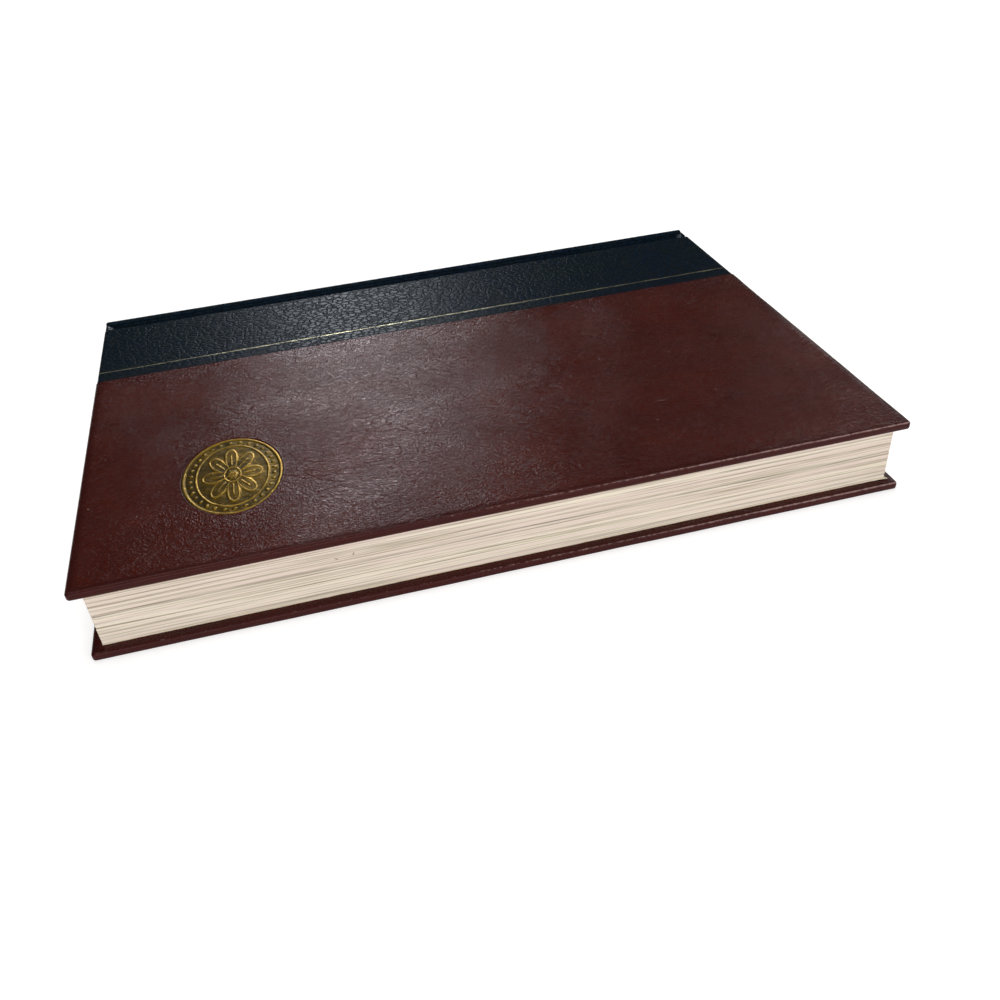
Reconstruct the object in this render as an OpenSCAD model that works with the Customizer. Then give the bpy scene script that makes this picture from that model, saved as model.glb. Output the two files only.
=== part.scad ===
// Quarter-leather case-bound book, lying closed on its back cover.
// X runs along the spine from tail (-) to head (+), Y from the fore edge (-)
// to the spine (+), and Z up. The origin is under the middle of the closed book.

/* [Covers] */
// Length of the covers from tail to head
cover_h = 261; // [200:1:340]
// Width of the closed book from the fore edge to the outside of the spine
book_w = 187; // [140:1:260]
// Thickness of the binder's board inside each cover
board_t = 1.9; // [1.5:0.1:3.5]
// Radius of the two fore corners in plan
corner_r = 1.2; // [0.8:0.1:5]
// Rounding of the leather over the board's edges
edge_round = 0.9; // [0.5:0.1:1]

/* [Pages] */
// Thickness of the sewn sections without the endpapers
leaves_t = 19.4; // [10:0.2:50]
// Number of folded sections in the text block
sections = 12; // [6:1:24]
// How far the covers reach past the pages at the fore edge
fore_square = 3.4; // [2:0.1:6]
// How far the covers reach past the pages at head and tail
end_square = 3.4; // [2.6:0.1:6]
// Depth of the nick between two sections on the trimmed edges
nick_depth = 0.25; // [0.1:0.05:0.4]
// Half width of that nick
nick_w = 0.2; // [0.1:0.05:0.3]
// How far a section strays from the cut line at the fore edge
stray = 0.12; // [0:0.02:0.2]
// Thickness of an endpaper
endpaper_t = 0.2; // [0.15:0.05:0.3]
// Air between the flyleaf and the pasted-down endpaper
cover_gap = 0.1; // [0.05:0.05:0.5]

/* [Leather] */
// Thickness of the brown leather on the sides
side_leather_t = 0.7; // [0.6:0.05:1]
// Thickness of the black leather on the spine
spine_leather_t = 0.5; // [0.45:0.05:0.6]
// Thickness that the turned-in leather is pared to
turn_in_t = 0.3; // [0.3:0.05:0.4]
// Width of the turn-ins inside the cover
turn_in_w = 14; // [8:0.5:20]
// Width of the black leather on each board
strip_w = 48.7; // [20:0.1:80]
// Width of the black leather's pared edge under the brown leather
lap_w = 4; // [2:0.5:8]
// Thickness of the black leather's pared edge
lap_t = 0.25; // [0.2:0.05:0.3]
// Width of the mitre seam between two turn-ins
mitre_w = 0.3; // [0.2:0.05:0.5]
// Depth of the mitre seam
mitre_depth = 0.15; // [0.05:0.05:0.2]

/* [Spine and joints] */
// Thickness of the card strip inside the spine leather
card_t = 1.2; // [0.8:0.1:2]
// Width of the groove between the spine ridge and the cover
groove_w = 6.8; // [5.5:0.1:10]
// Radius where the black leather turns down into the groove
shoulder_r = 1; // [0.6:0.1:1.2]
// How far an opened cover's back edge clears the outside of the spine
swing_clear = 0.6; // [0.4:0.1:1.5]
// Gap between the joint leather and the leather on the cover's back edge
joint_gap = 0.35; // [0.3:0.05:0.6]
// Air between the lining and the turned-in leather inside the spine
hollow_gap = 0.1; // [0.05:0.05:1]
// Thickness of the mull, the open cloth that carries the joint
mull_t = 0.3; // [0.2:0.05:0.5]
// Length of mull glued to each board
mull_flange_w = 25; // [15:1:40]
// Gap between the mull and the turn-ins at head and tail
mull_clear = 2; // [1:0.5:10]
// Thickness of the paper lining on the mull
lining_t = 0.2; // [0.1:0.05:0.5]
// How far the lining stops short of head and tail
lining_short = 1; // [0.5:0.5:10]
// Diameter of the headband's core
band_d = 1.8; // [1.2:0.1:2.4]
// Gap between the headband's tape and the mull
band_tape_gap = 0.5; // [0.2:0.1:2]

/* [Gold tooling] */
// Distance of the gold line from the edge of the brown leather
line_from_seam = 8; // [4:0.1:20]
// Width of the gold line
line_w = 0.7; // [0.3:0.1:1.5]
// Depth of the tooled groove that the gold line lies in
line_sink = 0.15; // [0.12:0.01:0.2]
// Thickness of the gold foil
foil_t = 0.1; // [0.06:0.01:0.12]
// Distance of the oval seal's centre from the tail
seal_from_tail = 48.1; // [40:0.1:100]
// Distance of the oval seal's centre from the fore edge
seal_from_fore = 46.2; // [40:0.1:80]
// Length of the oval seal across the cover
seal_l = 44.8; // [20:0.1:60]
// Width of the oval seal along the cover
seal_w = 32.4; // [15:0.1:50]
// Depth of the seal's stamped recess
seal_sink = 0.4; // [0.3:0.05:0.5]
// Height of the stamped relief on the seal
relief_h = 0.15; // [0.1:0.01:0.18]
// Width of the seal's raised rim
rim_w = 1.2; // [0.6:0.1:2]
// Number of beads round the seal
beads = 36; // [12:1:48]
// Diameter of one bead
bead_d = 1.3; // [0.8:0.1:1.6]
// Number of petals on the seal's rosette
petals = 8; // [5:1:12]

/* [Hidden] */

// Levels above the middle of the book's thickness, from the pages outwards
z_leaves = leaves_t / 2;
z_flyleaf = z_leaves + endpaper_t;
z_fold = z_flyleaf + endpaper_t;
z_joint_in = z_fold + mull_t;
z_joint_out = z_joint_in + spine_leather_t;
z_inner = z_flyleaf + cover_gap;
z_turn = z_inner + endpaper_t;
z_board = z_turn + turn_in_t;
z_board_out = z_board + board_t;
z_strip = z_board_out + spine_leather_t;
z_lap = z_board_out + lap_t;
half_t = z_board_out + side_leather_t;

// Half lengths from the middle towards head and tail
x_side = cover_h / 2;
x_board = x_side - side_leather_t;
x_lap = x_board + lap_t;
x_strip = x_board + spine_leather_t;
x_pages = x_side - end_square;
x_window = x_side - turn_in_w;
x_mull = x_window - mull_clear;

// Places from the fore edge to the spine
y_fore = -book_w / 2;
y_back = book_w / 2;
y_card_out = y_back - spine_leather_t;
y_card_in = y_card_out - card_t;
y_spine_turn = y_card_in - turn_in_t;
y_ridge = y_card_in - spine_leather_t;
y_pages_back = y_spine_turn - hollow_gap - lining_t - mull_t;
y_mull_back = y_pages_back + mull_t;
y_cover_back = y_ridge - groove_w;
y_board_back = y_cover_back - spine_leather_t;
y_board_fore = y_fore + side_leather_t;
y_pages_fore = y_fore + fore_square;
y_window = y_fore + turn_in_w;
y_seam = y_cover_back - strip_w;
y_lap = y_seam - lap_w;
y_line = y_seam + line_from_seam;
y_mull_flange = y_cover_back - mull_flange_w;

// The hinge line of each cover lies in the middle of the joint leather. What is
// fixed in the joint ends inside the circle that the cover's back edge sweeps.
hinge_y = (y_back + y_cover_back + swing_clear) / 2;
hinge_z = (z_joint_in + z_joint_out) / 2;
swing_r = hinge_y - y_cover_back;
y_joint = hinge_y - sqrt(pow(swing_r - joint_gap, 2) - pow(hinge_z - z_flyleaf, 2));

// The rounding never eats through the leather at the board's corners, and the
// pared lap under the brown leather is rounded about the same centre
edge_r = min(edge_round, 2 * spine_leather_t, 3 * turn_in_t);
lap_r = edge_r - (spine_leather_t - lap_t);
ridge_t = y_back - y_ridge;
arc_steps = 6;
oval_steps = 96;
seal_x = seal_from_tail - x_side;
seal_y = y_fore + seal_from_fore;

// Points along a circular arc, for outlines that are extruded
function arc(cx, cy, r, from, to, steps = arc_steps) =
    [for (i = [0:steps]) let (a = from + (to - from) * i / steps) [cx + r * cos(a), cy + r * sin(a)]];

// A rectangle with its own rounding at each corner: low left, low right, high right, high left
function rounded(x0, y0, x1, y1, r) = concat(
    r[0] == 0 ? [[x0, y0]] : arc(x0 + r[0], y0 + r[0], r[0], 180, 270),
    r[1] == 0 ? [[x1, y0]] : arc(x1 - r[1], y0 + r[1], r[1], 270, 360),
    r[2] == 0 ? [[x1, y1]] : arc(x1 - r[2], y1 - r[2], r[2], 0, 90),
    r[3] == 0 ? [[x0, y1]] : arc(x0 + r[3], y1 - r[3], r[3], 90, 180));

// Ellipse with half axes a along X and b along Y
function oval(a, b) = [for (i = [0:oval_steps - 1]) let (t = 360 * i / oval_steps) [a * cos(t), b * sin(t)]];

// A drawn outline of depth and height, carried along X over half length x each way
module along_x(points, x) {
    rotate([90, 0, 90]) linear_extrude(2 * x, center = true) polygon(points);
}

// A drawn outline of X and height, carried along Y from y[0] to y[1]
module along_y(points, y) {
    translate([0, y[1], 0]) rotate([90, 0, 0]) linear_extrude(y[1] - y[0]) polygon(points);
}

// A box over half length x each way, between two depths and two levels
module slab(x, y, z) {
    translate([-x, y[0], z[0]]) cube([2 * x, y[1] - y[0], z[1] - z[0]]);
}

// The same box at head and tail only, from half length x[0] out to x[1]
module end_slabs(x, y, z) {
    for (side = [0, 1]) mirror([side, 0, 0])
        translate([x[0], y[0], z[0]]) cube([x[1] - x[0], y[1] - y[0], z[1] - z[0]]);
}

// Places a piece of the front cover side, drawn from the middle of the thickness upwards
module front_side() { translate([0, 0, half_t]) children(); }

// Places the same piece, turned over, on the back cover side
module back_side() { translate([0, 0, half_t]) mirror([0, 0, 1]) children(); }

// Outside of a covered board, rounded at head and tail. r_fore and r_back round
// the fore and back edges, and r_plan rounds the two fore corners in plan.
module covered_form(x, y, z_out, r_fore, r_back, r_plan) {
    intersection() {
        along_x(rounded(y[0], z_turn, y[1], z_out, [r_fore, 0, r_back, r_fore]), x);
        along_y(rounded(-x, z_turn, x, z_out, [edge_r, edge_r, edge_r, edge_r]), y);
        translate([0, 0, z_turn]) linear_extrude(z_out - z_turn)
            polygon(rounded(-x, y[0], x, y[1], [r_plan, r_plan, 0, 0]));
    }
}

// The folded and trimmed sections. Each back is a round fold, and each trimmed
// edge shows a fine nick where two sections meet.
module sewn_sections() {
    section_t = leaves_t / sections;
    fold_r = section_t / 2;
    // Edge of section i at the fore edge, with the small stray of a hand-fed trim
    function edge(i) = y_pages_fore + stray * (1 + sin(137 * i)) / 2;
    depth_outline = concat(
        [for (i = [0:sections - 1], k = [0:2]) let (z = -z_leaves + i * section_t)
            k == 0 ? [y_pages_fore + nick_depth, z] :
            k == 1 ? [edge(i), z + nick_w] : [edge(i), z + section_t - nick_w]],
        [[y_pages_fore + nick_depth, z_leaves]],
        [for (i = [sections - 1:-1:0], k = [0:arc_steps]) let (a = 90 - 180 * k / arc_steps)
            [y_pages_back - fold_r + fold_r * cos(a), -z_leaves + (i + 0.5) * section_t + fold_r * sin(a)]]);
    half_outline = [for (i = [0:sections - 1], k = [0:2]) let (z = -z_leaves + i * section_t)
        k == 0 ? [x_pages - nick_depth, z] : [x_pages, z + (k == 1 ? nick_w : section_t - nick_w)]];
    end_outline = concat(half_outline, [[x_pages - nick_depth, z_leaves], [nick_depth - x_pages, z_leaves]],
        [for (i = [len(half_outline) - 1:-1:0]) [-half_outline[i].x, half_outline[i].y]]);
    intersection() {
        along_x(depth_outline, x_side);
        along_y(end_outline, [y_fore, y_back]);
    }
}

// All leaves of the book, sewn and glued into one block
module text_block() { color("#e8dcc4") front_side() sewn_sections(); }

// Flyleaf and the fold that is glued up into the joint, under the mull
module endpaper() {
    slab(x_pages, [y_pages_fore, y_pages_back], [z_leaves, z_flyleaf]);
    slab(x_pages, [y_joint, y_pages_back], [z_flyleaf, z_fold]);
}
module front_endpaper() { color("#efe6d2") front_side() endpaper(); }
module back_endpaper() { color("#efe6d2") back_side() endpaper(); }

// Open cloth glued over the backs of the sections and out into both joints
module spine_mull() {
    color("#cfc4a8") front_side() {
        slab(x_mull, [y_pages_back, y_mull_back], [-z_joint_in, z_joint_in]);
        for (side = [0, 1]) mirror([0, 0, side])
            slab(x_mull, [y_joint, y_mull_back], [z_fold, z_joint_in]);
    }
}

// Strip of paper glued over the mull
module spine_lining() {
    color("#b39568") front_side()
        slab(x_pages - lining_short, [y_mull_back, y_mull_back + lining_t], [-z_leaves, z_leaves]);
}

// Headband: a round core standing on the end of the pages, on a tape glued to their backs
module headband() {
    bead_y = y_pages_back + mull_t / 2 - band_d / 2;
    front_side() {
        translate([x_pages + band_d / 2, bead_y, -z_leaves]) cylinder(d = band_d, h = leaves_t, $fn = 32);
        translate([x_mull + band_tape_gap, y_pages_back, -z_leaves])
            cube([x_pages + band_d / 2 - x_mull - band_tape_gap, mull_t, leaves_t]);
    }
}
module head_headband() { color("#a8813f") headband(); }
module tail_headband() { color("#a8813f") mirror([1, 0, 0]) headband(); }

// Strip of stiff card inside the spine leather
module spine_card() {
    card_z = z_strip - spine_leather_t;
    color("#8d8474") front_side() slab(x_board, [y_card_in, y_card_out], [-card_z, card_z]);
}

// Leather round the card: ridges at both edges of the spine, then down into the
// two joint grooves. At head and tail it is turned in over the card and the joints.
module spine_leather() {
    ridge_r = ridge_t / 2;
    card_z = z_strip - spine_leather_t;
    upper = concat([[y_joint, z_joint_in], [y_joint, z_joint_out], [y_ridge, z_joint_out]],
        arc(y_ridge + ridge_r, z_strip - ridge_r, ridge_r, 180, 0));
    upper_inside = [[y_card_out, card_z], [y_card_in, card_z], [y_card_in, z_joint_in]];
    function below(points) = [for (i = [len(points) - 1:-1:0]) [points[i].x, -points[i].y]];
    color("#1b222c") front_side() intersection() {
        union() {
            along_x(concat(upper, below(upper), below(upper_inside), upper_inside), x_strip);
            end_slabs([x_board, x_strip], [y_spine_turn, y_card_out], [-card_z, card_z]);
            end_slabs([x_window, x_strip], [y_spine_turn, y_card_in], [-z_joint_in, z_joint_in]);
            for (side = [0, 1]) mirror([0, 0, side])
                end_slabs([x_window, x_strip], [y_joint, y_card_in], [z_fold, z_joint_in]);
        }
        along_y(rounded(-x_strip, -z_strip, x_strip, z_strip, [edge_r, edge_r, edge_r, edge_r]), [y_joint, y_back]);
    }
}

// Grey binder's board with its fore corners taken off
module board() {
    r = max(corner_r - side_leather_t, 0);
    translate([0, 0, z_board]) linear_extrude(board_t)
        polygon(rounded(-x_board, y_board_fore, x_board, y_board_back, [r, r, 0, 0]));
}
module front_board() { color("#9a948a") front_side() board(); }
module back_board() { color("#9a948a") back_side() board(); }

// The black leather's pared edge on the board, with the board's own space in it
module pared_lap(y) { along_y(rounded(-x_lap, z_board, x_lap, z_lap, [0, 0, lap_r, lap_r]), y); }

// Brown leather: over the board, round three edges and turned in, with mitred corners.
// Its fourth edge laps over the pared edge of the black leather.
module side_leather(stamped) {
    difference() {
        covered_form(x_side, [y_fore, y_seam], half_t, edge_r, 0, corner_r);
        board();
        slab(x_window, [y_window, y_seam], [z_turn, z_board]);
        pared_lap([y_lap, y_seam]);
        for (side = [0, 1]) mirror([side, 0, 0]) translate([x_side, y_fore, z_turn])
            rotate([0, 0, 45]) translate([-mitre_w / 2, 0, 0]) cube([mitre_w, turn_in_w * sqrt(2), mitre_depth]);
        if (stamped) translate([seal_x, seal_y, half_t - seal_sink])
            linear_extrude(side_leather_t) polygon(oval(seal_w / 2, seal_l / 2));
    }
}
module front_side_leather() { color("#552c28") front_side() side_leather(true); }
module back_side_leather() { color("#552c28") back_side() side_leather(false); }

// Black leather of the spine where it lies on the board. It comes up out of the
// joint over the back edge, and its far edge is pared thin under the brown leather.
module leather_strip() {
    difference() {
        union() {
            covered_form(x_strip, [y_seam, y_cover_back], z_strip, 0, shoulder_r, 0);
            pared_lap([y_lap, y_seam + lap_t]);
        }
        board();
        slab(x_window, [y_lap, y_cover_back], [z_turn, z_board]);
        slab(x_side, [y_line - line_w / 2, y_line + line_w / 2], [z_strip - line_sink, half_t]);
    }
}
module front_leather_strip() { color("#1b222c") front_side() leather_strip(); }
module back_leather_strip() { color("#1b222c") back_side() leather_strip(); }

// The part of the mull that is glued to the board, between the turn-ins
module mull_flange() { slab(x_mull, [y_mull_flange, y_cover_back], [z_turn, z_board]); }
module front_mull_flange() { color("#cfc4a8") front_side() mull_flange(); }
module back_mull_flange() { color("#cfc4a8") back_side() mull_flange(); }

// Endpaper pasted to the cover. It lies on the board in the middle, and steps up
// over the turn-ins and over the mull.
module pastedown() {
    difference() {
        slab(x_pages, [y_pages_fore, y_cover_back], [z_inner, z_board]);
        difference() {
            slab(x_side, [y_fore, y_back], [z_turn, half_t]);
            slab(x_window, [y_window, y_mull_flange], [z_inner, half_t]);
        }
        slab(x_window - endpaper_t, [y_window + endpaper_t, y_mull_flange - endpaper_t],
            [z_flyleaf, z_board - endpaper_t]);
    }
}
module front_pastedown() { color("#efe6d2") front_side() pastedown(); }
module back_pastedown() { color("#efe6d2") back_side() pastedown(); }

// Gold line, pressed into the black leather from tail to head
module gold_line() {
    slab(x_strip - edge_r, [y_line - line_w / 2, y_line + line_w / 2],
        [z_strip - line_sink, z_strip - line_sink + foil_t]);
}
module front_gold_line() { color("#c9b26a") front_side() gold_line(); }
module back_gold_line() { color("#c9b26a") back_side() gold_line(); }

// Gold oval in the stamped recess: a raised rim, a ring of beads, and a rosette
// of round petals about a boss, all inside an inner oval line.
module front_gold_seal() {
    a = seal_w / 2;
    b = seal_l / 2;
    bead_in = rim_w + bead_d;
    line_in = bead_in + bead_d + rim_w / 2;
    line_t = rim_w / 2;
    petal_in = line_in + line_t + bead_d;
    boss_d = 2.5 * bead_d;
    // Share of the rosette's reach at angle t: full at a petal's tip, less between two
    function petal(t) = 0.55 + 0.45 * abs(cos(petals * t / 2));
    color("#b8912f") front_side() translate([seal_x, seal_y, half_t - seal_sink]) {
        linear_extrude(foil_t) polygon(oval(a, b));
        linear_extrude(foil_t + relief_h) difference() {
            polygon(oval(a, b));
            polygon(oval(a - rim_w, b - rim_w));
        }
        linear_extrude(foil_t + relief_h) difference() {
            polygon(oval(a - line_in, b - line_in));
            polygon(oval(a - line_in - line_t, b - line_in - line_t));
        }
        for (i = [0:beads - 1]) let (t = 360 * i / beads)
            translate([(a - bead_in) * cos(t), (b - bead_in) * sin(t), 0])
                cylinder(d = bead_d, h = foil_t + relief_h, $fn = 24);
        linear_extrude(foil_t + relief_h) polygon([for (i = [0:oval_steps - 1])
            let (t = 360 * i / oval_steps, k = petal(t))
            [k * (a - petal_in) * cos(t), k * (b - petal_in) * sin(t)]]);
        cylinder(d = boss_d, h = foil_t + 1.5 * relief_h, $fn = 32);
    }
}

text_block();
front_endpaper();
back_endpaper();
spine_mull();
spine_lining();
head_headband();
tail_headband();
spine_card();
spine_leather();
front_board();
front_side_leather();
front_leather_strip();
front_mull_flange();
front_pastedown();
front_gold_line();
front_gold_seal();
back_board();
back_side_leather();
back_leather_strip();
back_mull_flange();
back_pastedown();
back_gold_line();
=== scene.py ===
# %% [markdown]
# # A quarter-leather book
# The book lies closed on its back cover. Its sides are brown leather with a fine
# creased grain, its spine is black pebble-grained leather, and a thin gold line and
# an oval gold seal are stamped on the front. The solids of the book come packed as a
# fixed frame. This script dresses them: each leather, paper and cloth piece is made
# again as a finer surface in the same place, and each gets its finish.

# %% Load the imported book
import math
from functools import partial

import bmesh
import bpy
import numpy as np
from mathutils import Matrix, Vector


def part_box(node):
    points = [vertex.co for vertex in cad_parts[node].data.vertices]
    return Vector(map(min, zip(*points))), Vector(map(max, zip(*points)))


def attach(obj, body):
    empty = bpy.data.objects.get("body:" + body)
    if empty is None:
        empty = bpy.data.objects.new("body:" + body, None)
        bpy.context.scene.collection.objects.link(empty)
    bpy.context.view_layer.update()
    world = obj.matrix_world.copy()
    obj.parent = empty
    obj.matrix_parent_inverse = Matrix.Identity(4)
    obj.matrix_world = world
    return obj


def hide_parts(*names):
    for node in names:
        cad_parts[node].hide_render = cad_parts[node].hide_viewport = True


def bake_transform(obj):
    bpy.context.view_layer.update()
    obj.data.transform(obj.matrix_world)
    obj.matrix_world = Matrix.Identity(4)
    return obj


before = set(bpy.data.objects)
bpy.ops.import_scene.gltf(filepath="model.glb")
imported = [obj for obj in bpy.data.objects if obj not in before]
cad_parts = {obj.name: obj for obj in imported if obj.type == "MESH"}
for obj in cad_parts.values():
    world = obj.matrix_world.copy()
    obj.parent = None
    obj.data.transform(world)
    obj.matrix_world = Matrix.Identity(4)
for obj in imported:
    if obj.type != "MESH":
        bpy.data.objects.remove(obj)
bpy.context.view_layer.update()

# %% [markdown]
# ## Sizes
# Everything is in metres. X runs along the spine from tail to head, Y from the fore
# edge to the spine, and Z up. A front and a back cover are the same piece turned over,
# so a piece is drawn once as heights above the middle of the book's thickness, and
# `side` is 1 for the front and -1 for the back. The places are read from the boxes of
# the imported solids, so the surfaces always sit where the solids are.

# %% Sizes from the frame
MM = 0.001


def corners(node):
    """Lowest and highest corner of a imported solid, as two arrays in metres."""
    low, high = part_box(node)
    return np.array(low), np.array(high)


brown_low, brown_high = corners("front_side_leather")
spine_low, spine_high = corners("spine_leather")
pages_low, pages_high = corners("text_block")
paste_low, paste_high = corners("front_pastedown")
band_low, band_high = corners("head_headband")
line_low, line_high = corners("front_gold_line")
seal_low, seal_high = corners("front_gold_seal")
black_half, cover_back, strip_top = corners("front_leather_strip")[1]

middle = (spine_low[2] + spine_high[2]) / 2
half_height = brown_high[0]
fore, seam = brown_low[1], brown_high[1]
spine_back = spine_high[1]
brown_top = brown_high[2] - middle
turn_in_level = brown_low[2] - middle
black_top = strip_top - middle
page_half = pages_high[0]
page_fore, page_back = pages_low[1], pages_high[1]
page_level = pages_high[2] - middle
print(f"cover {2e3 * half_height:.1f} x {1e3 * (spine_back - fore):.1f} mm,",
      f"seam at {1e3 * seam:.1f}, back edge at {1e3 * cover_back:.1f}")

# %% Sizes that a box can't give
turn_in_width = 14 * MM      # brown and black leather, inside the covers
plan_corner = 1.2 * MM       # the leather's two fore corners
edge_round = 0.9 * MM        # leather over the board's edge
shoulder = 1.0 * MM          # where the black leather turns down into the groove
groove_width = 6.8 * MM
joint_top = 10.9 * MM        # outside of the joint leather, above the middle
joint_under = 10.1 * MM      # where its turn-in ends, on the fold of the endpaper
lap_width = 4 * MM           # pared edge of the black leather under the brown
lap_level = 12.65 * MM
flange_width = 25 * MM       # mull glued to each board
skin = 0.3 * MM              # thickness given to each leather surface
paper = 0.18 * MM            # and to each endpaper
covers = (("front", 1), ("back", -1))
print("finish layers", skin, "and", paper, "m thick")

# %% [markdown]
# ## Camera
# The camera stands where the photograph was taken from, in front of the fore edge, a
# little to the tail, looking down at about 38 degrees. Its axes are three directions:
# to the right and down in the picture, and forward into it. The shift puts the
# optical axis a little below and left of the picture's middle.

# %% Camera
picture = 1000                                  # pixels each way
focal = 967.0                                   # pixels
axis_pixel = (495.9, 545.8)                     # where the optical axis meets the picture
eye = Vector((-54.5, -321.6, 192.9)) * MM
to_right = Vector((0.96615, -0.24959, -0.06523))
downward = Vector((-0.20370, -0.58296, -0.78655))
forward = to_right.cross(downward)
camera_data = bpy.data.cameras.new("camera")
camera_data.lens = camera_data.sensor_width * focal / picture
camera_data.shift_x = (picture / 2 - axis_pixel[0]) / picture
camera_data.shift_y = (axis_pixel[1] - picture / 2) / picture
camera_data.clip_start = 0.01
camera = bpy.data.objects.new("camera", camera_data)
turn = Matrix((to_right, -downward, -forward)).transposed().to_4x4()
camera.matrix_world = Matrix.Translation(eye) @ turn
bpy.context.scene.collection.objects.link(camera)
bpy.context.scene.camera = camera
print(f"lens {camera_data.lens:.1f} mm, shift {camera_data.shift_x:.4f} {camera_data.shift_y:.4f}")

# %% [markdown]
# ## Light
# A big soft lamp in front lights the page edges and one overhead lights the cover, both
# at a plain level. A low window behind the spine is what the leather mirrors towards
# the reader: it draws the pale sheen over the middle of the cover and picks out the
# grain. A smaller one does the same for the head fore corner. Each lamp is aimed by its
# direction from the place that it lights.

# %% Lamps and world
scene = bpy.context.scene
scene.view_settings.view_transform = "Standard"
world = bpy.data.worlds.new("room")
scene.world = world
world.use_nodes = True
background = world.node_tree.nodes["Background"]
background.inputs["Color"].default_value = (0.93, 0.97, 1.0, 1)
background.inputs["Strength"].default_value = 0.035


def lamp(name, aim, azimuth, elevation, distance, size, power, colour):
    """Area lamp that faces the point aim. Its direction from there is the unit vector of an azimuth and an
    elevation in degrees; sizes and distances are in metres, and power is in watts."""
    data = bpy.data.lights.new(name, "AREA")
    data.shape = "RECTANGLE"
    data.size, data.size_y = size
    data.energy, data.color = power, colour
    a, e = math.radians(azimuth), math.radians(elevation)
    away = Vector((math.cos(a) * math.cos(e), math.sin(a) * math.cos(e), math.sin(e)))
    holder = bpy.data.objects.new(name, data)
    holder.matrix_world = Matrix.Translation(Vector(aim) + distance * away) @ \
        away.to_track_quat("Z", "Y").to_matrix().to_4x4()
    scene.collection.objects.link(holder)


warm, cool = (1, 0.98, 0.96), (0.93, 0.96, 1)
lamp("front_lamp", (0, -0.09, 0.013), -85, 22, 1.6, (2.6, 1.2), 32.5, warm)
lamp("top_lamp", (0, 0, 0.026), 90, 82, 1.6, (1.2, 1.2), 14, warm)
lamp("window", (-0.045, 0, 0.026), 85.6, 25.5, 1.5, (0.24, 0.33), 3.8, cool)
lamp("side_window", (0.12, -0.07, 0.026), 52, 27, 1.5, (0.25, 0.3), 0.85, (1, 0.98, 0.97))

# %% [markdown]
# ## Finishes
# A finish is a small tree of nodes. `finish` starts one, and hands back `add`, which
# places one node in it, fills its fields and joins the nodes that feed it. Colours are
# written as they look on a screen, in hex, and `linear` turns them into the linear
# values that the shader works with. Patterns read Object coordinates, which are metres
# in the book's own frame, so the scale of a pattern is simply one over its real size.

# %% Node and colour helpers
def linear(colour):
    """Linear RGBA from an sRGB hex string: each channel undoes the screen's curve."""
    channels = [int(colour[i:i + 2], 16) / 255 for i in (1, 3, 5)]
    return (*[c / 12.92 if c <= 0.04045 else ((c + 0.055) / 1.055) ** 2.4 for c in channels], 1)


def fill(node, fields):
    """Fills a node's properties and sockets, by name or number: an output of another node is joined, a hex
    string becomes a colour, and stops fill a colour ramp."""
    for key, value in fields.items():
        if key == "stops":
            points = node.color_ramp.elements
            while len(points) < len(value):
                points.new(0.5)
            for point, (place, colour) in zip(points, value):
                point.position, point.color = place, linear(colour)
        elif isinstance(key, str) and key in node.bl_rna.properties:
            setattr(node, key, value)
        elif isinstance(value, bpy.types.NodeSocket):
            node.id_data.links.new(value, node.inputs[key])
        else:
            node.inputs[key].default_value = linear(value) if isinstance(value, str) else value


def add_node(tree, kind, fields, output=0):
    """Adds one node and returns one of its outputs. A list of fields fills the first sockets in their order:
    those of Map Range are a value, the two ends that it comes from, and the two that it goes to."""
    node = tree.nodes.new("ShaderNode" + kind)
    fill(node, dict(enumerate(fields)) if isinstance(fields, list) else fields)
    return node.outputs[output]


def finish(name, settings):
    """A new material, `add` for its nodes, its Principled shader with settings, and the Object coordinates."""
    material = bpy.data.materials.new(name)
    material.use_nodes = True
    add = partial(add_node, material.node_tree)
    shader = material.node_tree.nodes["Principled BSDF"]
    fill(shader, settings)
    return material, add, shader, add("TexCoord", {}, "Object")


def bent(add, place, size, reach):
    """Coordinates pushed about by soft noise: blotches of this size move points by up to this reach."""
    push = add("TexNoise", {"Vector": place, "Scale": 1 / size, "Detail": 1}, "Color")
    return add("VectorMath", {"operation": "MULTIPLY_ADD", 0: push, 1: (2 * reach,) * 3, 2: place})


def wear_and_highlight_share(add, place, size, start, end, most):
    """Share of rubbed surface and, on the brown leather's edges, of painted highlight: the stored share plus
    noise of this size, from 0 at start to the most at end.
    """
    rubbed = add("TexNoise", {"Vector": place, "Scale": 1 / size, "Detail": 4, "Roughness": 0.7})
    wear = add("Attribute", {"attribute_name": "wear"}, "Fac")
    return add("MapRange", [add("Math", {"operation": "ADD", 0: rubbed, 1: wear}), start, end, 0, most])


print("brown as linear:", [round(c, 4) for c in linear("#4a221c")])
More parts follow.
